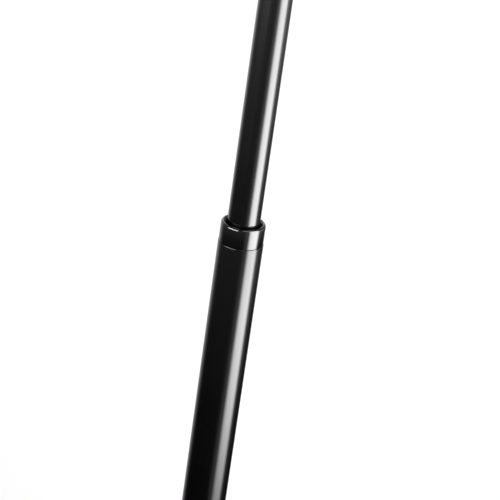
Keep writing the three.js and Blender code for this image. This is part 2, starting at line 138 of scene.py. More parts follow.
def apply_modifier(piece, kind, **settings):
    """Adds one modifier to a piece and applies it."""
    work_on(piece)
    modifier = piece.modifiers.new(kind.title(), kind)
    for key, value in settings.items():
        setattr(modifier, key, value)
    bpy.ops.object.modifier_apply(modifier=modifier.name)
    return piece


def weld(piece):
    """Merges the points that a cut or a bevel leaves on top of each other."""
    edit_all(piece)
    bpy.ops.mesh.remove_doubles(threshold=mm / 200)
    bpy.ops.mesh.dissolve_degenerate(threshold=mm / 200)
    bpy.ops.object.mode_set(mode="OBJECT")
    return piece


def combine(piece, operation, *others):
    """Cuts the others out of a piece, or joins them to it, and removes them."""
    for other in others:
        apply_modifier(piece, "BOOLEAN", operation=operation, object=other, solver="EXACT")
        bpy.data.objects.remove(other)
    return weld(piece)


def ease(piece, width, segments=2, angle=35):
    """Breaks a piece's sharp edges, as tumbling, filing or a thick coat of paint does."""
    apply_modifier(piece, "BEVEL", width=width * mm, segments=segments, angle_limit=math.radians(angle),
                   limit_method="ANGLE", use_clamp_overlap=True, harden_normals=False)
    return smooth(weld(piece))


def fit(piece, material, slot, body, *nodes):
    """Finishes a piece: its material, the body it moves with and the nodes it stands for. The slot is not
    used.
    """
    piece.data.materials.clear()
    piece.data.materials.append(material)
    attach(piece, body)
    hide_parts(*nodes)


def linear(code):
    """The linear colour of an sRGB hex value."""
    channels = [int(code[i:i + 2], 16) / 255 for i in (1, 3, 5)]
    return [c / 12.92 if c <= 0.04045 else ((c + 0.055) / 1.055) ** 2.4 for c in channels] + [1]


def add(tree, kind, settings=None, inputs=None):
    """Adds one shader node, sets its properties, and fills its inputs with values, nodes or their outputs."""
    node = tree.nodes.new("ShaderNode" + kind)
    for key, value in (settings or {}).items():
        setattr(node, key, value)
    for key, value in (inputs or {}).items():
        if isinstance(value, bpy.types.Node):
            value = next(output for output in value.outputs if output.enabled)
        if isinstance(value, bpy.types.NodeSocket):
            tree.links.new(value, node.inputs[key])
        else:
            node.inputs[key].default_value = value
    return node


def per_metre(millimetres):
    """The scale of a pattern whose grains are that far apart."""
    return 1 / (millimetres * mm)


def new_material(name):
    """An empty material, its node tree and the object coordinates its patterns lie in."""
    material = bpy.data.materials.new(name)
    material.use_nodes = True
    tree = material.node_tree
    tree.nodes.clear()
    place = add(tree, "TexCoord").outputs["Object"]
    return material, tree, place


def surface(tree, inputs):
    """The principled shader with these inputs, joined to the output."""
    shader = add(tree, "BsdfPrincipled", inputs=inputs)
    add(tree, "OutputMaterial", inputs={"Surface": shader})
    return shader


def powder_coat(name, colour, pebble, height, roughness, gloss):
    """Polyester powder coat, sprayed dry and stoved: an even black skin with a fine pebbled texture, a little
    greyer where it is handled and where dust lies on faces that look up."""
    material, tree, place = new_material(name)
    pebbles = add(tree, "TexNoise", inputs={"Vector": place, "Scale": per_metre(pebble), "Detail": 2.0})
    patches = add(tree, "TexNoise", inputs={"Vector": place, "Scale": per_metre(60), "Detail": 5.0})
    up = add(tree, "SeparateXYZ", inputs={0: add(tree, "NewGeometry").outputs["Normal"]}).outputs["Z"]
    lying = add(tree, "MapRange", inputs={0: up, 1: 0.45, 2: 1.0, 3: 0.0, 4: 0.16})
    dust = add(tree, "Math", {"operation": "MULTIPLY"}, {0: lying, 1: patches})
    tint = add(tree, "Mix", {"data_type": "RGBA"},
               {0: patches, 6: linear(colour), 7: linear("#202022")})
    coat = add(tree, "Mix", {"data_type": "RGBA"}, {0: dust, 6: tint, 7: linear("#8c8a86")})
    rough = add(tree, "MapRange", inputs={0: patches, 3: roughness - 0.06, 4: roughness + 0.06})
    bump = add(tree, "Bump", inputs={"Height": pebbles, "Distance": height * mm, "Strength": 1.0})
    surface(tree, {"Base Color": coat, "Roughness": rough, "Normal": bump,
                   "Specular IOR Level": gloss})
    return material


cast_coat = powder_coat("powder_coat_on_iron", "#131314", pebble=1.1, height=0.10, roughness=0.42, gloss=0.4)

hub_low, hub_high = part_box("base_hub")
column = (hub_low + hub_high) / 2
column.z = 0
hub_foot = Vector((column.x, column.y, hub_low.z))
drum_radius, drum_height = 37, 48
sleeve_radius, hub_height = 18.8, 66
tube_seat = 18
leg_level = 26
leg_bore = 9.8
leg_circle = 26.8
screw_seat = 41.5

hub = turned("hub_casting", [
    (4.3, 10, 0.3), (13, 10, 0.6), (13, 0, 0.8), (drum_radius, 0, 3), (drum_radius, drum_height, 4.5),
    (sleeve_radius, drum_height, 4), (sleeve_radius, hub_height, 1.6), (14.6, hub_height, 0.6),
    (14.6, tube_seat), (4.3, tube_seat),
], hub_foot, steps=128)
leg_angles = {"back": 90, "left": 210, "right": 330}
for angle in leg_angles.values():
    out = Vector((math.cos(math.radians(angle)), math.sin(math.radians(angle)), 0))
    socket = turned("socket_cutter", [(0, 16.8), (leg_bore, 16.8), (leg_bore, 60), (0, 60)],
                    hub_foot + Vector((0, 0, leg_level * mm)), out, 64)
    counterbore = turned("counterbore_cutter", [(0, screw_seat), (5.3, screw_seat), (5.3, 60), (0, 60)],
                         hub_foot + out * leg_circle * mm, steps=48)
    combine(hub, "DIFFERENCE", socket, counterbore)
ease(hub, 0.5, 3)
fit(hub, cast_coat, "powder_coat", "base", "base_hub")


# ---------------------------------------------------------------- legs
# Three bent steel tubes, 19 mm across, powder coated before they are pushed into the hub's sockets.
tube_coat = powder_coat("powder_coat_on_tube", "#121213", pebble=1.6, height=0.05, roughness=0.36, gloss=0.4)

leg_radius = 9.5
leg_start, bend_start = 17.1, 64
foot_reach, foot_lift = 256, 13
leg_slope = math.radians(58)
straight_end = 28
down_leg = Vector((0, math.cos(leg_slope), -math.sin(leg_slope)))
leg_height = hub_foot.z / mm + leg_level
leg_tip = Vector((0, foot_reach - foot_lift / math.tan(leg_slope), foot_lift))


def swung(piece, name, angle):
    """A copy of a piece with its own mesh, swung round the column."""
    copy = piece.copy()
    copy.data = piece.data.copy()
    copy.name = name
    bpy.context.scene.collection.objects.link(copy)
    turn = Matrix.Rotation(math.radians(angle), 4, "Z")
    copy.data.transform(Matrix.Translation(column) @ turn @ Matrix.Translation(-column))
    return copy


def leg_tube(name):
    """The back leg: a bezier curve through the leg's centre line, swept with a round section."""
    bend_end = leg_tip - down_leg * straight_end
    pull = (bend_end.y - bend_start) / 2
    start = Vector((0, leg_start, leg_height))
    bend = Vector((0, bend_start, leg_height))
    knots = [
        (start, start, start.lerp(bend, 1 / 3)),
        (bend, start.lerp(bend, 2 / 3), bend + Vector((0, pull, 0))),
        (bend_end, bend_end - down_leg * pull / 2, bend_end.lerp(leg_tip, 1 / 3)),
        (leg_tip, bend_end.lerp(leg_tip, 2 / 3), leg_tip),
    ]
    deselect()
    bpy.ops.curve.primitive_bezier_curve_add()
    leg = bpy.context.object
    leg.name = name
    curve = leg.data
    curve.dimensions = "3D"
    curve.bevel_depth = leg_radius * mm
    curve.bevel_resolution = 14
    curve.resolution_u = 28
    curve.use_fill_caps = True
    points = curve.splines[0].bezier_points
    points.add(len(knots) - len(points))
    for point, (place, before, after) in zip(points, knots):
        point.handle_left_type = point.handle_right_type = "FREE"
        point.co = column + place * mm
        point.handle_left = column + before * mm
        point.handle_right = column + after * mm
    bpy.ops.object.convert(target="MESH")
    edit_all(leg)
    bpy.ops.mesh.remove_doubles(threshold=mm / 500)
    bpy.ops.mesh.normals_make_consistent(inside=False)
    bpy.ops.object.mode_set(mode="OBJECT")
    return smooth(leg)


back_leg = leg_tube("leg_tube_back")
for side, angle in leg_angles.items():
    leg = back_leg if side == "back" else swung(back_leg, f"leg_tube_{side}", angle - leg_angles["back"])
    fit(leg, tube_coat, "powder_coat", "base", f"{side}_leg")


# ---------------------------------------------------------------- leg screws
# M6 socket cap screws, bright zinc plated, down through the hub and each leg.
def zinc_plate(name):
    """Bright zinc plate on steel: blue-white metal with faint cloudy passivation and fine tumbling marks."""
    material, tree, place = new_material(name)
    clouds = add(tree, "TexNoise", inputs={"Vector": place, "Scale": per_metre(9), "Detail": 4.0})
    marks = add(tree, "TexNoise", inputs={"Vector": place, "Scale": per_metre(0.5), "Detail": 3.0})
    tint = add(tree, "Mix", {"data_type": "RGBA"},
               {0: clouds, 6: linear("#c9ccd2"), 7: linear("#a9aca8")})
    rough = add(tree, "MapRange", inputs={0: marks, 3: 0.22, 4: 0.38})
    bump = add(tree, "Bump", inputs={"Height": marks, "Distance": 0.02 * mm, "Strength": 0.6})
    surface(tree, {"Base Color": tint, "Metallic": 1.0, "Roughness": rough,
                   "Normal": bump})
    return material


bright_zinc = zinc_plate("bright_zinc_on_steel")


def hexagon(name, across_flats, low, high, foot, axis=(0, 0, 1), chamfer=0.0):
    """A hexagon bar along an axis, its corners turned off at both ends if it has a chamfer."""
    axis = Vector(axis).normalized()
    radius = across_flats / math.sqrt(3)
    deselect()
    bpy.ops.mesh.primitive_cylinder_add(
        vertices=6, radius=radius * mm, depth=(high - low + (2 if chamfer else 0)) * mm,
        location=Vector(foot) + axis * (low + high) / 2 * mm,
        rotation=axis.to_track_quat("Z", "Y").to_euler())
    bar = bpy.context.object
    bar.name = name
    bpy.ops.object.transform_apply(location=True, rotation=True, scale=True)
    if chamfer:
        flat = across_flats / 2
        blank = turned("blank", [(0, low), (flat, low), (radius + 0.1, low + chamfer),
                                 (radius + 0.1, high - chamfer), (flat, high), (0, high)], foot, axis)
        combine(bar, "INTERSECT", blank)
    return bar


screw_foot = hub_foot + Vector((0, leg_circle * mm, 0))
cap_screw = turned("leg_screw_back", [(0, 5), (3, 5, 0.5), (3, screw_seat), (5, screw_seat, 0.3),
                                      (5, screw_seat + 6, 0.7), (0, screw_seat + 6)], screw_foot, steps=64)
combine(cap_screw, "DIFFERENCE", hexagon("key_cutter", 5, screw_seat + 3, screw_seat + 7, screw_foot))
ease(cap_screw, 0.15)
for side, angle in leg_angles.items():
    screw = cap_screw if side == "back" else swung(cap_screw, f"leg_screw_{side}", angle - leg_angles["back"])
    fit(screw, bright_zinc, "zinc_plate", "base", f"{side}_leg_screw")


# ---------------------------------------------------------------- feet
# Moulded rubber ferrules with grip ribs, pushed over the leg ends and flat where they stand.
def moulded_rubber(name):
    """Natural rubber, compression moulded: dead matt, slightly mottled, with fine grit from the floor."""
    material, tree, place = new_material(name)
    mottle = add(tree, "TexNoise", inputs={"Vector": place, "Scale": per_metre(7), "Detail": 6.0})
    grit = add(tree, "TexNoise", inputs={"Vector": place, "Scale": per_metre(0.6), "Detail": 2.0})
    low = add(tree, "SeparateXYZ", inputs={0: place}).outputs["Z"]
    scuff = add(tree, "MapRange", inputs={0: low, 1: 0.0, 2: 0.012, 3: 0.55, 4: 0.0})
    worn = add(tree, "Math", {"operation": "MULTIPLY"}, {0: scuff, 1: mottle})
    base = add(tree, "Mix", {"data_type": "RGBA"},
               {0: mottle, 6: linear("#161616"), 7: linear("#222221")})
    tint = add(tree, "Mix", {"data_type": "RGBA"}, {0: worn, 6: base, 7: linear("#5d5a55")})
    bump = add(tree, "Bump", inputs={"Height": grit, "Distance": 0.08 * mm, "Strength": 0.8})
    surface(tree, {"Base Color": tint, "Roughness": 0.78, "Normal": bump,
                   "Specular IOR Level": 0.35})
    return material


black_rubber = moulded_rubber("moulded_black_rubber")

ferrule_radius, ferrule_cover = 13, 24
rib_edges = []
for rib in range(4):
    groove = 5 + 4 * rib
    rib_edges += [(ferrule_radius, groove, 0.25), (ferrule_radius - 0.8, groove + 0.5, 0.2),
                  (ferrule_radius - 0.8, groove + 1.2, 0.2), (ferrule_radius, groove + 1.7, 0.25)]
foot_place = column + leg_tip * mm
ferrule = turned("foot_ferrule_back", [
    (0, -26), (ferrule_radius, -26), *rib_edges, (ferrule_radius, ferrule_cover, 1.5),
    (leg_radius + 0.15, ferrule_cover, 0.4), (leg_radius + 0.15, -0.3), (0, -0.3),
], foot_place, -down_leg)
edit_all(ferrule)
bpy.ops.mesh.bisect(plane_co=(0, 0, 0), plane_no=(0, 0, 1), use_fill=True, clear_inner=True)
bpy.ops.object.mode_set(mode="OBJECT")
ease(ferrule, 0.5, 3, angle=40)
for side, angle in leg_angles.items():
    foot = ferrule if side == "back" else swung(ferrule, f"foot_ferrule_{side}", angle - leg_angles["back"])
    fit(foot, black_rubber, "foot_rubber", "base", f"{side}_foot")


# ---------------------------------------------------------------- base bolt, washer and plug
# An M8 hexagon bolt and washer in the hub's pocket draw the base tube's plug, swaged into its foot, down on
# the hub's floor.
def washer(name, bore, radius, low, thickness, foot, axis=(0, 0, 1), edge=0.25):
    """A punched washer, one edge rolled over by the punch."""
    return turned(name, [(bore, low), (radius, low, edge), (radius, low + thickness, edge),
                         (bore, low + thickness, edge / 2)], foot, axis)


base_washer = washer("base_washer_punched", 4.3, 10, 8.1, 1.6, hub_foot)
fit(base_washer, bright_zinc, "zinc_plate", "base", "base_washer")

bolt_seat = 7.8
bolt_tip = 32.3
base_bolt = hexagon("base_bolt_forged", 13, bolt_seat - 5.3, bolt_seat, hub_foot, chamfer=0.9)
base_shank = turned("base_shank", [(0, bolt_seat - 1), (4, bolt_seat - 1), (4, bolt_tip, 0.8), (0, bolt_tip)],
                    hub_foot, steps=48)
combine(base_bolt, "UNION", base_shank)
smooth(base_bolt)
fit(base_bolt, bright_zinc, "zinc_plate", "base", "base_bolt")

plug_low, plug_high = 18.3, 34.3
base_plug = turned("base_plug_turned", [
    (4.3, plug_low, 0.5), (12.6, plug_low, 0.6), (12.6, plug_high, 0.6), (4.3, plug_high, 0.5),
], hub_foot)
fit(base_plug, bright_zinc, "zinc_plate", "base", "base_plug")


# ---------------------------------------------------------------- base tube
# Drawn steel tube, 28.6 mm across, its mouth deburred, stove enamelled satin black.
def stove_enamel(name, colour, roughness, streak, gloss):
    """Smooth stove enamel on drawn tube: deep black with a soft sheen, a trace of orange peel, and fine
    lengthways marks from handling that only show in the sheen."""
    material, tree, place = new_material(name)
    stretch = add(tree, "Mapping", inputs={"Vector": place, "Scale": (1.0, 1.0, 0.02)})
    streaks = add(tree, "TexNoise", inputs={"Vector": stretch, "Scale": per_metre(1.2), "Detail": 4.0})
    patches = add(tree, "TexNoise", inputs={"Vector": place, "Scale": per_metre(45), "Detail": 4.0})
    peel = add(tree, "TexNoise", inputs={"Vector": place, "Scale": per_metre(2.4), "Detail": 1.0})
    both = add(tree, "Math", {"operation": "MULTIPLY"}, {0: streaks, 1: patches})
    rough = add(tree, "MapRange", inputs={0: both, 1: 0.15, 2: 0.4, 3: roughness - streak,
                                          4: roughness + streak})
    tint = add(tree, "Mix", {"data_type": "RGBA"},
               {0: patches, 6: linear(colour), 7: linear("#040405")})
    bump = add(tree, "Bump", inputs={"Height": peel, "Distance": 0.004 * mm, "Strength": 1.0})
    surface(tree, {"Base Color": tint, "Roughness": rough, "Normal": bump,
                   "Specular IOR Level": gloss})
    return material


tube_enamel = stove_enamel("stove_enamel_on_base_tube", "#020202", 0.18, 0.012, gloss=0.37)

tube_low, tube_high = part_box("base_tube")
tube_foot = Vector((column.x, column.y, tube_low.z))
tube_mouth = Vector((column.x, column.y, tube_high.z))
tube_radius, tube_bore = 14.3, 12.9
tube_length = (tube_high.z - tube_low.z) / mm
base_tube = turned("base_tube_drawn", [
    (tube_bore, 0), (tube_radius, 0, 0.4), (tube_radius, tube_length, 0.35), (tube_bore, tube_length, 0.2),
], tube_foot, steps=160)
fit(base_tube, tube_enamel, "tube_paint", "base", "base_tube")


# ---------------------------------------------------------------- collar
# A polished black ABS moulding pressed into the tube's mouth, a hair smaller than the tube, with a fully
# rounded rim and an open well round the mast.
def polished_moulding(name, colour, roughness):
    """ABS from a polished mould: deep black and glossier than the paint, with a faint swirl from handling."""
    material, tree, place = new_material(name)
    swirl = add(tree, "TexNoise", inputs={"Vector": place, "Scale": per_metre(12), "Detail": 5.0})
    rough = add(tree, "MapRange", inputs={0: swirl, 3: roughness - 0.02, 4: roughness + 0.03})
    tint = add(tree, "Mix", {"data_type": "RGBA"},
               {0: swirl, 6: linear(colour), 7: linear("#0f0f10")})
    ripple = add(tree, "Bump", inputs={"Height": swirl, "Distance": 0.01 * mm, "Strength": 0.5})
    surface(tree, {"Base Color": tint, "Roughness": rough, "Normal": ripple,
                   "Specular IOR Level": 0.45})
    return material


gloss_abs = polished_moulding("polished_black_abs", "#09090a", 0.11)

collar_height = (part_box("collar")[1].z - tube_mouth.z) / mm
collar_radius = 14.05
mouth_radius, throat_radius = 12.35, 10.8
well_floor = collar_height - 8
collar = turned("collar_moulded", [
    (10.9, -22, 0.2), (12.6, -22, 0.5), (12.6, 0.12), (collar_radius, 0.12, 0.18),
    (collar_radius, collar_height, 1.4), (mouth_radius, collar_height, 0.4),
    (throat_radius, collar_height - 2.6, 0.3), (throat_radius, well_floor - 2.2),
    (11.8, well_floor - 2.2), (11.8, -20.4), (10.9, -20.4, 0.2),
], tube_mouth, steps=160)
fit(collar, gloss_abs, "collar_moulding", "base", "collar")


# ---------------------------------------------------------------- guide bush
# A slit sleeve of natural nylon, sprung into the collar's spigot past the lip at its foot.
def nylon(name):
    """Natural nylon, injection moulded: waxy off-white, faintly mottled, with a soft sheen."""
    material, tree, place = new_material(name)
    mottle = add(tree, "TexNoise", inputs={"Vector": place, "Scale": per_metre(5), "Detail": 3.0})
    tint = add(tree, "Mix", {"data_type": "RGBA"},
               {0: mottle, 6: linear("#e2dfd4"), 7: linear("#d0ccbd")})
    rough = add(tree, "MapRange", inputs={0: mottle, 3: 0.34, 4: 0.5})
    surface(tree, {"Base Color": tint, "Roughness": rough})
    return material


white_nylon = nylon("natural_nylon")


def on_column(node):
    """The foot of a node that lies on the column's axis, and its height in millimetres."""
    low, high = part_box(node)
    return Vector((column.x, column.y, low.z)), (high.z - low.z) / mm


bush_foot, bush_length = on_column("guide_bush")
bush_slit = 1.6
bush = turned("guide_bush_moulded", [(10.45, 0, 0.35), (11.5, 0, 0.25), (11.5, bush_length, 0.25),
                                     (10.45, bush_length, 0.35)], bush_foot, steps=128)
deselect()
bpy.ops.mesh.primitive_cube_add(size=mm, location=bush_foot + Vector((11 * mm, 0, bush_length / 2 * mm)))
bpy.context.object.scale = (6, bush_slit, 2 * bush_length)
combine(bush, "DIFFERENCE", bpy.context.object)
smooth(bush)
fit(bush, white_nylon, "nylon", "base", "guide_bush")


# ---------------------------------------------------------------- mast
# Drawn steel tube, 20.6 mm across, enamelled like the base tube. It slides and turns in the collar's bush,
# and is drilled across for the pins that hold the neck in its top and the clutch plug in its foot.
mast_enamel = stove_enamel("stove_enamel_on_mast", "#030303", 0.215, 0.012, gloss=0.44)

mast_foot, mast_length = on_column("mast")
mast_top = mast_foot + Vector((0, 0, mast_length * mm))
mast_radius, mast_bore = 10.3, 9.1
neck_pin_radius, neck_pin_height = 2, mast_length - 17
plug_pin_radius, plug_pin_height = 1.5, 11
mast = turned("mast_drawn", [
    (mast_bore, 0, 0.3), (mast_radius, 0, 0.4),
    (mast_radius, mast_length, 0.4), (mast_bore, mast_length, 0.3),
], mast_foot, steps=128)


def cross_hole(radius, height):
    """A drill through the mast from front to back."""
    return turned("cross_drill", [(0, -20), (radius, -20), (radius, 20), (0, 20)],
                  mast_foot + Vector((0, 0, height * mm)), (0, 1, 0), 48)


combine(mast, "DIFFERENCE", cross_hole(neck_pin_radius + 0.1, neck_pin_height),
        cross_hole(plug_pin_radius + 0.1, plug_pin_height))
smooth(mast)
fit(mast, mast_enamel, "tube_paint", "mast", "mast")


# ---------------------------------------------------------------- spring pins
# Rolled spring-steel pins with a slit along one side, driven through the mast: one holds the neck, the
# other the clutch plug.
def spring_steel(name):
    """Oiled spring steel: grey metal with a straw cast from its heat treatment and fine drawing marks."""
    material, tree, place = new_material(name)
    marks = add(tree, "TexNoise", inputs={"Vector": place, "Scale": per_metre(0.4), "Detail": 4.0})
    temper = add(tree, "TexNoise", inputs={"Vector": place, "Scale": per_metre(8), "Detail": 2.0})
    tint = add(tree, "Mix", {"data_type": "RGBA"},
               {0: temper, 6: linear("#77797c"), 7: linear("#a39b8b")})
    rough = add(tree, "MapRange", inputs={0: marks, 3: 0.26, 4: 0.42})
    surface(tree, {"Base Color": tint, "Metallic": 1.0, "Roughness": rough})
    return material


oiled_steel = spring_steel("oiled_spring_steel")

pin_half = 10
for name, node, radius, height in (("neck_pin_rolled", "neck_pin", neck_pin_radius, neck_pin_height),
                                   ("end_plug_pin_rolled", "end_plug_pin", plug_pin_radius, plug_pin_height)):
    pin_centre = mast_foot + Vector((0, 0, height * mm))
    bore = radius * 0.5
    pin = turned(name, [
        (bore, -pin_half), (radius, -pin_half, 0.3), (radius, pin_half, 0.3), (bore, pin_half),
    ], pin_centre, (0, 1, 0), 48)
    deselect()
    bpy.ops.mesh.primitive_cube_add(size=mm, location=pin_centre + Vector((0, 0, radius * mm)))
    bpy.context.object.scale = (0.5, 3 * pin_half, 1.6 * radius)
    combine(pin, "DIFFERENCE", bpy.context.object)
    smooth(pin)
    fit(pin, oiled_steel, "spring_steel", "mast", node)


# ---------------------------------------------------------------- friction clutch
# Inside the base tube at the mast's foot: a pinned plug holds a threaded spindle with two steel cones. A
# spring draws them together, so that they spread two moulded shoes against the tube's bore.
def friction_moulding(name):
    """Fibre-filled phenolic, compression moulded: brown, dull, flecked with short pale fibres."""
    material, tree, place = new_material(name)
    flecks = add(tree, "TexNoise", inputs={"Vector": place, "Scale": per_metre(0.7), "Detail": 5.0})
    tint = add(tree, "Mix", {"data_type": "RGBA"},
               {0: flecks, 6: linear("#4f3524"), 7: linear("#8a664a")})
    bump = add(tree, "Bump", inputs={"Height": flecks, "Distance": 0.05 * mm, "Strength": 0.7})
    surface(tree, {"Base Color": tint, "Roughness": 0.68, "Normal": bump})
    return material


phenolic = friction_moulding("fibre_filled_phenolic")


def thread(radius, pitch, low, high):
    """The corners of a screw thread, cut as rings, for the profile of a turned bolt."""
    corners = []
    height = low
    while height + pitch < high:
        corners += [(radius, height + 0.3 * pitch), (radius - 0.55 * pitch, height + 0.6 * pitch),
                    (radius, height + 0.9 * pitch)]
        height += pitch
    return corners


plug_foot, plug_length = on_column("mast_end_plug")
end_plug = turned("mast_end_plug_turned", [
    (3.3, 0, 0.4), (mast_radius, 0, 0.5), (mast_radius, 3, 0.4), (8.8, 3), (8.8, plug_length, 0.8),
    (3.3, plug_length, 0.4),
], plug_foot)
combine(end_plug, "DIFFERENCE", cross_hole(plug_pin_radius + 0.1, plug_pin_height))
smooth(end_plug)
fit(end_plug, bright_zinc, "zinc_plate", "mast", "mast_end_plug")

spindle_foot, spindle_length = on_column("clutch_spindle")
spindle = turned("clutch_spindle_threaded", [
    (0, 0), (3, 0, 0.5), *thread(3, 1, 1, spindle_length - 1), (3, spindle_length, 0.5), (0, spindle_length),
], spindle_foot, steps=40)
fit(spindle, bright_zinc, "zinc_plate", "mast", "clutch_spindle")

thrust_foot, washer_thickness = on_column("clutch_thrust_washer")
thrust_washer = washer("clutch_thrust_washer_punched", 3.3, 10.4, 0, washer_thickness, thrust_foot)
fit(thrust_washer, white_nylon, "nylon", "mast", "clutch_thrust_washer")

cone_rim, cone_tip, cone_lip = 10.4, 7, 4
upper_foot, cone_height = on_column("clutch_upper_cone")
upper_cone = turned("clutch_upper_cone_turned", [
    (3.3, 0, 0.4), (cone_tip, 0, 0.5), (cone_rim, cone_height - cone_lip, 0.3), (cone_rim, cone_height, 0.4),
    (3.3, cone_height, 0.4),
], upper_foot)
fit(upper_cone, bright_zinc, "zinc_plate", "mast", "clutch_upper_cone")

lower_foot, cone_height = on_column("clutch_lower_cone")
lower_cone = turned("clutch_lower_cone_turned", [
    (3.3, 0, 0.4), (cone_rim, 0, 0.4), (cone_rim, cone_lip, 0.3), (cone_tip, cone_height, 0.5),
    (3.3, cone_height, 0.4),
], lower_foot)
fit(lower_cone, bright_zinc, "zinc_plate", "mast", "clutch_lower_cone")

shoe_foot, shoe_length = on_column("clutch_shoe_left")
shoe_radius, shoe_slot, shoe_taper = 12.75, 1.6, 15
for side, cut_away in (("left", 1), ("right", -1)):
    shoe = turned(f"clutch_shoe_{side}_moulded", [
        (cone_rim + 0.3, 0, 0.2), (shoe_radius, 0, 0.5), (shoe_radius, shoe_length, 0.5),
        (cone_rim + 0.3, shoe_length, 0.2), (cone_tip + 0.3, shoe_length - shoe_taper, 0.5),
        (cone_tip + 0.3, shoe_taper, 0.5),
    ], shoe_foot)
    deselect()
    block = 100
    bpy.ops.mesh.primitive_cube_add(
        size=block * mm, location=shoe_foot + Vector((cut_away * (block - shoe_slot) / 2 * mm, 0, 0)))
    combine(shoe, "DIFFERENCE", bpy.context.object)
    smooth(shoe)
    fit(shoe, phenolic, "shoe_moulding", "clutch", f"clutch_shoe_{side}")

spring_foot, spring_length = on_column("clutch_spring")
wire, coil_radius, coils, clearance = 0.87, 6, 4, 0.03
deselect()
bpy.ops.mesh.primitive_circle_add(vertices=16, radius=wire * mm, rotation=(math.radians(90), 0, 0),
                                  location=spring_foot + Vector((0, 0, (wire + clearance) * mm)))
spring = bpy.context.object
spring.name = "clutch_spring_wound"
bpy.ops.object.transform_apply(location=False, rotation=True, scale=True)
edit_all(spring)
bpy.ops.transform.translate(value=(coil_radius * mm, 0, 0))
bpy.ops.object.mode_set(mode="OBJECT")
coil_rise = (spring_length - 2 * (wire + clearance)) / coils
apply_modifier(spring, "SCREW", screw_offset=coil_rise * mm, iterations=coils, steps=40, render_steps=40)
bpy.ops.object.transform_apply(location=True)
edit_all(spring)
bpy.ops.mesh.fill_holes(sides=0)
bpy.ops.mesh.select_all(action="SELECT")
bpy.ops.mesh.normals_make_consistent(inside=False)
bpy.ops.object.mode_set(mode="OBJECT")
smooth(spring)
fit(spring, oiled_steel, "spring_steel", "mast", "clutch_spring")

spring_washer_foot, washer_thickness = on_column("clutch_spring_washer")
spring_washer = washer("clutch_spring_washer_punched", 3.3, 7.9, 0, washer_thickness, spring_washer_foot)
fit(spring_washer, bright_zinc, "zinc_plate", "mast", "clutch_spring_washer")


def drilled(piece, radius, foot, axis=(0, 0, 1), reach=100):
    """A piece with a round hole along an axis, as far as reach on both sides of foot."""
    drill = turned("drill", [(0, -reach), (radius, -reach), (radius, reach), (0, reach)], foot, axis, 48)
    combine(piece, "DIFFERENCE", drill)
    return smooth(piece)


nut_foot, nut_height = on_column("clutch_nut")
clutch_nut = drilled(hexagon("clutch_nut_forged", 10, 0, nut_height, nut_foot, chamfer=0.7), 3.05, nut_foot)
fit(clutch_nut, bright_zinc, "zinc_plate", "mast", "clutch_nut")


# ---------------------------------------------------------------- neck
# An aluminium sand casting, powder coated: a spigot pinned in the mast, a flange that covers the mast's end,
# and a stem that carries the eye for the tilt bolt. The eye's two faces are machined after casting.
tilt_joint = next(joint for joint in frame["joints"] if joint["name"] == "desk_tilt")
pivot = Vector(tilt_joint["pos_m"])
neck_flange = (0.3, 6.3)
stem_width, stem_depth = 22, 19
eye_radius, tilt_bore = 15, 4.3
eye_height = (pivot.z - mast_top.z) / mm


def pressed(name, corners, across, up, low, high):
    """A slab with an outline of corners (across, up, radius), from low to high along the outline's normal."""
    across, up = Vector(across), Vector(up)
    through = across.cross(up)
    piece = draw(name, [(across * p.x + up * p.y + through * low) * mm for p in rounded(corners)])
    bpy.ops.mesh.edge_face_add()
    bpy.ops.mesh.extrude_region_move(TRANSFORM_OT_translate={"value": through * (high - low) * mm})
    bpy.ops.mesh.select_all(action="SELECT")
    bpy.ops.mesh.normals_make_consistent(inside=False)
    bpy.ops.object.mode_set(mode="OBJECT")
    return piece


def machined(piece, place, direction):
    """Cuts a piece off flat at a place, taking away what lies beyond it in that direction."""
    edit_all(piece)
    bpy.ops.mesh.bisect(plane_co=place, plane_no=direction, use_fill=True, clear_outer=True)
    bpy.ops.object.mode_set(mode="OBJECT")
    return piece


half_width, half_depth = stem_width / 2, stem_depth / 2
spare = 0.8
neck = turned("neck_casting", [
    (0, -6), (13.1, -6), (13.1, neck_flange[1] + 0.1, 1.5), (0, neck_flange[1] + 0.1),
], mast_top, steps=96)
stem_side = [(half_depth + 3, 5), (half_depth, 9.5, 6), (half_depth, eye_height - 16, 9),
             (14.4, eye_height - 4)]
stem = pressed("stem", [*stem_side, *((-corner[0], *corner[1:]) for corner in reversed(stem_side))],
               (0, 1, 0), (0, 0, 1), -half_width - spare, half_width + spare)
stem.data.transform(Matrix.Translation(mast_top))
eye = turned("eye", [(0, -half_width - spare), (eye_radius + 0.1, -half_width - spare),
                     (eye_radius + 0.1, half_width + spare), (0, half_width + spare)], pivot, (1, 0, 0), 96)
combine(neck, "UNION", stem, eye)
apply_modifier(neck, "REMESH", mode="VOXEL", voxel_size=0.6 * mm)
apply_modifier(neck, "SMOOTH", factor=0.5, iterations=12)
machined(neck, mast_top + Vector((0, 0, neck_flange[0] * mm)), (0, 0, -1))
for side in (-1, 1):
    machined(neck, pivot + Vector((side * half_width * mm, 0, 0)), (side, 0, 0))
spigot = turned("spigot", [(0, -34), (8.8, -34, 1), (8.8, neck_flange[0] + 0.5), (0, neck_flange[0] + 0.5)],
                mast_top, steps=80)
combine(neck, "UNION", spigot)
drilled(neck, tilt_bore, pivot, (1, 0, 0))
combine(neck, "DIFFERENCE", cross_hole(neck_pin_radius + 0.1, neck_pin_height))
smooth(neck)
fit(neck, cast_coat, "powder_coat", "mast", "neck")


# ---------------------------------------------------------------- desk bracket
# Pressed 3 mm steel: a plate riveted behind the desk, with two ears MIG welded to it that clasp the neck's
# eye. Powder coated after welding, so the coat runs over the beads.
ledge_rest = next(mount for mount in frame["record"]["mounts"] if mount["name"] == "ledge_top")
desk_lean = math.atan2(ledge_rest["axis"][1], ledge_rest["axis"][2])


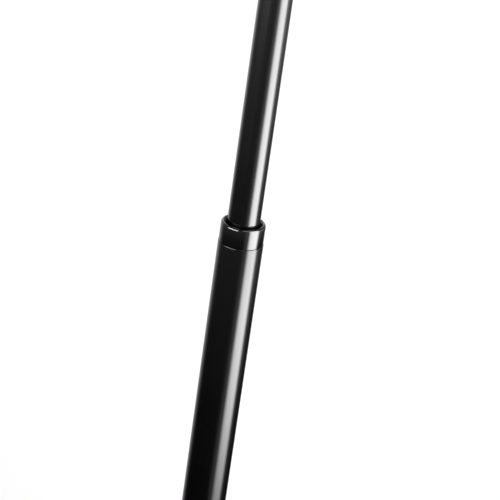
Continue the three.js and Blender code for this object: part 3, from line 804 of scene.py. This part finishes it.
def lean_back(piece):
    """Lays a piece of the desk, drawn upright with the tilt axis at the origin, back at the desk's angle."""
    piece.data.transform(Matrix.Translation(pivot) @ Matrix.Rotation(-desk_lean, 4, "X"))
    return piece


def choose_edges(piece, wanted):
    """Goes into edit mode with the edges selected whose two ends, in millimetres, are as wanted."""
    work_on(piece)
    bpy.context.tool_settings.mesh_select_mode = (False, True, False)
    bpy.ops.object.mode_set(mode="EDIT")
    bpy.ops.mesh.select_all(action="DESELECT")
    bpy.ops.object.mode_set(mode="OBJECT")
    mesh = piece.data
    for edge in mesh.edges:
        edge.select = wanted(*(mesh.vertices[i].co / mm for i in edge.vertices))
    bpy.ops.object.mode_set(mode="EDIT")


def round_edges(piece, radius, segments, wanted):
    """Rounds off the chosen edges."""
    choose_edges(piece, wanted)
    bpy.ops.mesh.bevel(offset=radius * mm, offset_type="OFFSET", segments=segments, affect="EDGES")
    bpy.ops.object.mode_set(mode="OBJECT")
    bpy.context.tool_settings.mesh_select_mode = (True, False, False)
    return piece


def riveted(piece, places, shank=2.6):
    """A piece of the desk with its rivet holes, at places (across, up) in millimetres."""
    for across, up in places:
        drilled(piece, shank, Vector((across, panel_front, up)) * mm, (0, 1, 0), reach=12)
    return piece


panel_front, panel_back = -33.5, -32
plate_front, plate_back = -31.7, -28.7
bracket_rivet_places = {f"{row}_{side}": (across, up) for row, up in (("upper", 34), ("lower", -34))
                        for side, across in (("left", -27), ("right", 27))}
ear_inside, ear_outside, ear_half = 13.1, 16.1, 25

bracket = pressed("desk_bracket_pressed", [(-38, -46, 10), (38, -46, 10), (38, 46, 10), (-38, 46, 10)],
                  (1, 0, 0), (0, 0, 1), -plate_back, -plate_front)
for side in (-1, 1):
    low, high = sorted((side * ear_inside, side * ear_outside))
    ear = pressed("ear", [
        (plate_back - 0.5, -ear_half), (plate_back + 1.5, -ear_half), (-13, -eye_radius, 12),
        (eye_radius, -eye_radius, eye_radius), (eye_radius, eye_radius, eye_radius),
        (-13, eye_radius, 12), (plate_back + 1.5, ear_half), (plate_back - 0.5, ear_half),
    ], (0, 1, 0), (0, 0, 1), low, high)
    combine(bracket, "UNION", ear)


def ear_foot(*ends):
    """Whether an edge is where an ear meets the plate."""
    return all(abs(end.y - plate_back) < 0.05 and ear_inside - 0.1 < abs(end.x) < ear_outside + 0.1
               and abs(end.z) < ear_half + 1 for end in ends)


round_edges(bracket, 1.6, 3, ear_foot)
drilled(bracket, tilt_bore, Vector(), (1, 0, 0))
riveted(bracket, bracket_rivet_places.values())
ease(bracket, 0.35, 2, angle=50)
lean_back(bracket)
fit(bracket, cast_coat, "powder_coat", "desk", "desk_bracket")


# ---------------------------------------------------------------- desk panel
# One sheet of 1.5 mm aluminium, cut with round corners, its edge folded back 10 mm all round over a soft
# bend, drilled for its rivets and powder coated.
desk_coat = powder_coat("powder_coat_on_aluminium", "#151516", pebble=1.3, height=0.08, roughness=0.48,
                        gloss=0.2)

panel_low, panel_high = -130, 188
panel_side = 254
rim_back, bend_radius, sheet = -23.5, 2.6, 1.5
ledge_rivet_places = [(across, -118) for across in (-226, -113, 0, 113, 226)]
corner_radius = 18

panel = pressed("desk_panel_folded", [
    (-panel_side, panel_low, corner_radius), (panel_side, panel_low, corner_radius),
    (panel_side, panel_high, corner_radius), (-panel_side, panel_high, corner_radius),
], (1, 0, 0), (0, 0, 1), -rim_back, -panel_front)


def choose_faces(piece, wanted):
    """Goes into edit mode with the faces selected whose centre, in millimetres, and normal are as wanted."""
    choose_edges(piece, lambda *ends: False)
    bpy.context.tool_settings.mesh_select_mode = (False, False, True)
    bpy.ops.object.mode_set(mode="OBJECT")
    for face in piece.data.polygons:
        face.select = wanted(face.center / mm, face.normal)
    bpy.ops.object.mode_set(mode="EDIT")


round_edges(panel, bend_radius, 5, lambda *ends: all(abs(end.y - panel_front) < 0.05 for end in ends))
choose_faces(panel, lambda centre, normal: normal.y > 0.9)
bpy.ops.mesh.delete(type="ONLY_FACE")
choose_faces(panel, lambda centre, normal: normal.y < -0.999)
bpy.ops.mesh.inset(thickness=0.6 * mm)
bpy.ops.object.mode_set(mode="OBJECT")
apply_modifier(panel, "SOLIDIFY", thickness=sheet * mm, offset=-1, use_even_offset=True)
riveted(panel, [*bracket_rivet_places.values(), *ledge_rivet_places])
round_edges(panel, 0.3, 2, lambda *ends: all(abs(end.y - rim_back) < 0.05 for end in ends))
smooth(panel)
lean_back(panel)
fit(panel, desk_coat, "desk_coat", "desk", "desk_panel")


# ---------------------------------------------------------------- rivets
# Domed steel rivets, enamelled black before they are set: four hold the bracket and five the ledge. The
# far end of each is pressed into a flat button, which rubs some of its enamel away.
def rivet_enamel(name):
    """Semi-gloss black enamel on steel, thin on the crown and chipped to grey steel in small specks."""
    material, tree, place = new_material(name)
    specks = add(tree, "TexNoise", inputs={"Vector": place, "Scale": per_metre(0.9), "Detail": 6.0})
    chips = add(tree, "MapRange", inputs={0: specks, 1: 0.66, 2: 0.70})
    cloud = add(tree, "TexNoise", inputs={"Vector": place, "Scale": per_metre(4), "Detail": 3.0})
    enamel = add(tree, "Mix", {"data_type": "RGBA"},
                 {0: cloud, 6: linear("#151516"), 7: linear("#242426")})
    tint = add(tree, "Mix", {"data_type": "RGBA"}, {0: chips, 6: enamel, 7: linear("#6e7074")})
    metal = add(tree, "MapRange", inputs={0: chips, 3: 0.0, 4: 0.8})
    rough = add(tree, "MapRange", inputs={0: cloud, 3: 0.26, 4: 0.40})
    bump = add(tree, "Bump", inputs={"Height": cloud, "Distance": 0.05 * mm, "Strength": 0.6})
    surface(tree, {"Base Color": tint, "Metallic": metal, "Roughness": rough,
                   "Normal": bump})
    return material


rivet_black = rivet_enamel("black_enamel_on_rivet")
rivet_shank, rivet_head, rivet_dome = 2.5, 5, 1.6


def rivet(name, place, front, back):
    """A rivet through the desk at a place (across, up), domed in front and with a pressed button behind."""
    angles = [math.radians(11.25 * step) for step in range(9)]
    dome = [(rivet_head * math.sin(angle), front - rivet_dome * math.cos(angle)) for angle in angles]
    button = rivet_head * 0.85
    piece = turned(name, [
        *dome, (rivet_shank, front), (rivet_shank, back), (button, back, 0.2), (button, back + 0.9, 0.5),
        (button - 1, back + rivet_dome, 0.4), (0, back + rivet_dome),
    ], Vector((place[0], 0, place[1])) * mm, (0, 1, 0), 48)
    return lean_back(piece)


for place_name, place in bracket_rivet_places.items():
    piece = rivet(f"bracket_rivet_{place_name}_set", place, panel_front, plate_back)
    fit(piece, rivet_black, "black_rivet", "desk", f"bracket_rivet_{place_name}")

tab_front, tab_back = -35.3, -33.8
for number, place in enumerate(ledge_rivet_places, 1):
    piece = rivet(f"ledge_rivet_{number}_set", place, tab_front, panel_back)
    fit(piece, rivet_black, "black_rivet", "desk", f"ledge_rivet_{number}")


# ---------------------------------------------------------------- ledge
# A strip of the same sheet, folded twice in a press brake: a tab riveted to the desk, a shelf 55 mm deep and
# a low lip with round ends, so that nothing catches.
shelf_foot, shelf_front, lip_top, tab_top = -130, -88.8, -114.5, -110
ledge_side, fold = 250, 4
ledge = pressed("ledge_folded", [
    (tab_back, tab_top), (tab_back, shelf_foot, fold), (shelf_front, shelf_foot, fold),
    (shelf_front, lip_top), (shelf_front + sheet, lip_top),
    (shelf_front + sheet, shelf_foot + sheet, fold - sheet),
    (tab_front, shelf_foot + sheet, fold - sheet), (tab_front, tab_top),
], (0, 1, 0), (0, 0, 1), -ledge_side, ledge_side)
round_edges(ledge, 7, 8, lambda a, b: abs(abs(a.x) - ledge_side) < 0.05 and abs(a.x - b.x) < 0.05
            and abs(a.z - b.z) < 0.05 and (abs(a.z - lip_top) < 0.05 or abs(a.z - tab_top) < 0.05))
riveted(ledge, ledge_rivet_places)
ease(ledge, 0.3, 2, angle=50)
lean_back(ledge)
fit(ledge, desk_coat, "desk_coat", "desk", "ledge")


# ---------------------------------------------------------------- tilt hardware
# An M8 bolt, two plain washers and a nut, bright zinc plated, draw the bracket's ears against a red fibre
# washer on each side of the neck's eye. Their friction holds the desk at any angle.
def vulcanised_fibre(name):
    """Vulcanised fibre punched from sheet: dull brick red, with the faint flecks of its cotton paper."""
    material, tree, place = new_material(name)
    paper = add(tree, "TexNoise", inputs={"Vector": place, "Scale": per_metre(0.8), "Detail": 6.0})
    tint = add(tree, "Mix", {"data_type": "RGBA"},
               {0: paper, 6: linear("#6b2c22"), 7: linear("#94503c")})
    bump = add(tree, "Bump", inputs={"Height": paper, "Distance": 0.04 * mm, "Strength": 0.6})
    surface(tree, {"Base Color": tint, "Roughness": 0.66, "Normal": bump})
    return material


red_fibre = vulcanised_fibre("red_vulcanised_fibre")

sideways = Vector((1, 0, 0))
for side, outwards in (("left", -sideways), ("right", sideways)):
    fibre = washer(f"friction_washer_{side}_punched", tilt_bore, 13, half_width + 0.3, 1.5, pivot, outwards)
    fit(fibre, red_fibre, "red_fibre", "desk", f"friction_washer_{side}")
    plain = washer(f"tilt_washer_{side}_punched", tilt_bore, 8, ear_outside + 0.1, 1.7, pivot, outwards)
    fit(plain, bright_zinc, "zinc_plate", "desk", f"tilt_washer_{side}")

bolt_seat, bolt_head, nut_high, bolt_end = 18, 23.6, 26.1, 28.1
tilt_nut = hexagon("tilt_nut_forged", 13, bolt_seat, nut_high, pivot, -sideways, chamfer=0.9)
drilled(tilt_nut, 4.05, pivot, sideways)
fit(tilt_nut, bright_zinc, "zinc_plate", "desk", "tilt_nut")

tilt_bolt = hexagon("tilt_bolt_forged", 13, bolt_seat + 0.4, bolt_head, pivot, sideways, chamfer=0.9)
shank = turned("shank", [
    (0, -bolt_end), (4, -bolt_end, 0.8), *thread(4, 1.25, 1 - bolt_end, 0), (4, bolt_seat),
    (5.9, bolt_seat), (5.9, bolt_seat + 1), (0, bolt_seat + 1),
], pivot, sideways, 48)
combine(tilt_bolt, "UNION", shank)
smooth(tilt_bolt)
fit(tilt_bolt, bright_zinc, "zinc_plate", "desk", "tilt_bolt")


# ---------------------------------------------------------------- floor, backdrop, lights and camera
# A pale seamless floor under plain soft light: a broad sun for the floor, a tall softbox on the right for the
# long highlight on the column, a low one on the left for the rims, and a white sweep behind for its edges.
deselect()
bpy.ops.mesh.primitive_plane_add(size=60)
floor = bpy.context.object
floor.name = "studio_floor"
floor.visible_glossy = False
floor_paint, floor_tree, floor_place = new_material("matt_white_floor")
speckle = add(floor_tree, "TexNoise", inputs={"Vector": floor_place, "Scale": per_metre(400), "Detail": 2.0})
floor_tint = add(floor_tree, "Mix", {"data_type": "RGBA"},
                 {0: speckle, 6: linear("#f4f4f4"), 7: linear("#f8f8f8")})
surface(floor_tree, {"Base Color": floor_tint, "Roughness": 0.9, "Specular IOR Level": 0.0})
floor.data.materials.append(floor_paint)

sun_data = bpy.data.lights.new("overhead_sun", "SUN")
sun_data.energy = 1.6
sun_data.angle = math.radians(35)
sun = bpy.data.objects.new("overhead_sun", sun_data)
sun.rotation_euler = (math.radians(28), math.radians(22), 0)
bpy.context.scene.collection.objects.link(sun)

collar_level = tube_mouth.z
softbox_distance = 0.6


def softbox(name, bearing, width, height, lift, foot_fade, side_fade, brightness):
    """An upright glowing panel beside the column that only gloss mirrors, fading at its foot and sides."""
    bearing = math.radians(bearing)
    out = Vector((math.sin(bearing), -math.cos(bearing), 0))
    deselect()
    bpy.ops.mesh.primitive_plane_add(size=1, rotation=(math.radians(90), 0, bearing))
    panel_light = bpy.context.object
    panel_light.name = name
    panel_light.scale = (width, height, 1)
    panel_light.location = Vector((column.x, column.y, collar_level + lift)) + out * softbox_distance
    panel_light.visible_camera = False
    panel_light.visible_diffuse = False
    panel_light.visible_shadow = False
    glow, tree, place = new_material(name + "_glow")
    axes = add(tree, "SeparateXYZ", inputs={0: place})
    fade = add(tree, "MapRange", {"interpolation_type": "SMOOTHSTEP"},
               {0: axes.outputs["Y"], 1: foot_fade[0], 2: foot_fade[1], 3: 0.0, 4: brightness})
    across = add(tree, "Math", {"operation": "ABSOLUTE"}, {0: axes.outputs["X"]})
    feather = add(tree, "MapRange", {"interpolation_type": "SMOOTHSTEP"},
                  {0: across, 1: 0.5, 2: side_fade, 3: 0.0, 4: 1.0})
    strength = add(tree, "Math", {"operation": "MULTIPLY"}, {0: fade, 1: feather})
    emission = add(tree, "Emission", inputs={"Strength": strength})
    add(tree, "OutputMaterial", inputs={"Surface": emission})
    panel_light.data.materials.append(glow)


softbox("softbox_right", 66, 0.81, 1.30, 0.004, (-0.514, -0.195), 0.16, 20.6)
softbox("softbox_left", -50, 0.72, 0.38, 0.31, (-0.5, -0.36), 0.42, 30.0)

world = bpy.data.worlds.new("white_studio")
world.use_nodes = True
bpy.context.scene.world = world
sky = world.node_tree
sky.nodes.clear()
ray = add(sky, "LightPath")
toward = add(sky, "TexCoord").outputs["Generated"]
height = add(sky, "SeparateXYZ", inputs={0: toward}).outputs["Z"]


def glow_from(direction, edge, core, brightness):
    """A soft patch of light in the sky round a direction."""
    nearness = add(sky, "VectorMath", {"operation": "DOT_PRODUCT"}, {0: toward, 1: direction})
    return add(sky, "MapRange", {"interpolation_type": "SMOOTHSTEP"},
               {0: nearness, 1: edge, 2: core, 3: 0.0, 4: brightness})


# What gloss mirrors: dark below, brighter upwards, grey overhead, and a glow on each side of the softbox.
slow_rise = add(sky, "Math", {"operation": "MULTIPLY_ADD"}, {0: height, 1: 12.3, 2: 2.5})
steep_rise = add(sky, "Math", {"operation": "MULTIPLY_ADD"}, {0: height, 1: 23.3, 2: 6.7})
rising = add(sky, "Math", {"operation": "MINIMUM"}, {0: slow_rise, 1: steep_rise})
above_floor = add(sky, "Math", {"operation": "MAXIMUM"}, {0: rising, 1: -3.95})
brighter_up = add(sky, "Math", {"operation": "EXPONENT"}, {0: above_floor})
overhead = add(sky, "MapRange", {"interpolation_type": "SMOOTHSTEP"},
               {0: height, 1: 0.05, 2: 0.75, 3: 0.4, 4: 0.2})
ambient = add(sky, "Math", {"operation": "MINIMUM"}, {0: brighter_up, 1: overhead})
halo = glow_from((0.79, -0.56, -0.25), 0.74, 1.04, 1.45)
flank = glow_from((0.97, 0.17, 0.10), 0.80, 1.0, 1.6)
both_glows = add(sky, "Math", {"operation": "ADD"}, {0: halo, 1: flank})
with_glows = add(sky, "Math", {"operation": "ADD"}, {0: ambient, 1: both_glows})
sweep = glow_from((-0.34, 0.94, 0.0), 0.54, 0.98, 1.0)
sweep_rise = add(sky, "MapRange", inputs={0: height, 1: -0.5, 2: -0.1, 3: 0.8, 4: 1.4})
seen = add(sky, "Math", {"operation": "MULTIPLY_ADD"}, {0: sweep, 1: sweep_rise, 2: with_glows})
mirrored = add(sky, "Mix", {"data_type": "FLOAT"}, {0: ray.outputs["Is Glossy Ray"], 2: 0.75, 3: seen})
strength = add(sky, "Mix", {"data_type": "FLOAT"}, {0: ray.outputs["Is Camera Ray"], 2: mirrored, 3: 1.2})
backdrop = add(sky, "Background", inputs={"Color": (1, 1, 1, 1), "Strength": strength})
add(sky, "OutputWorld", inputs={"Surface": backdrop})

camera_data = bpy.data.cameras.new("camera")
camera_data.sensor_width = 36
camera_data.lens = 141.2
camera = bpy.data.objects.new("camera", camera_data)
bpy.context.scene.collection.objects.link(camera)
camera_distance, camera_rise, camera_roll = 1.219, math.radians(24), math.radians(8.3)
aim = Vector((column.x, column.y, collar_level))
away = Vector((0, -math.cos(camera_rise), math.sin(camera_rise)))
turn_to_aim = (-away).to_track_quat("-Z", "Y").to_matrix().to_4x4()
framing = Matrix.Translation((5.65 * mm, -5.6 * mm, 0))
camera.matrix_world = (Matrix.Translation(aim + away * camera_distance) @ turn_to_aim
                       @ Matrix.Rotation(camera_roll, 4, "Z") @ framing)
bpy.context.scene.camera = camera
bpy.context.scene.view_settings.view_transform = "Standard"
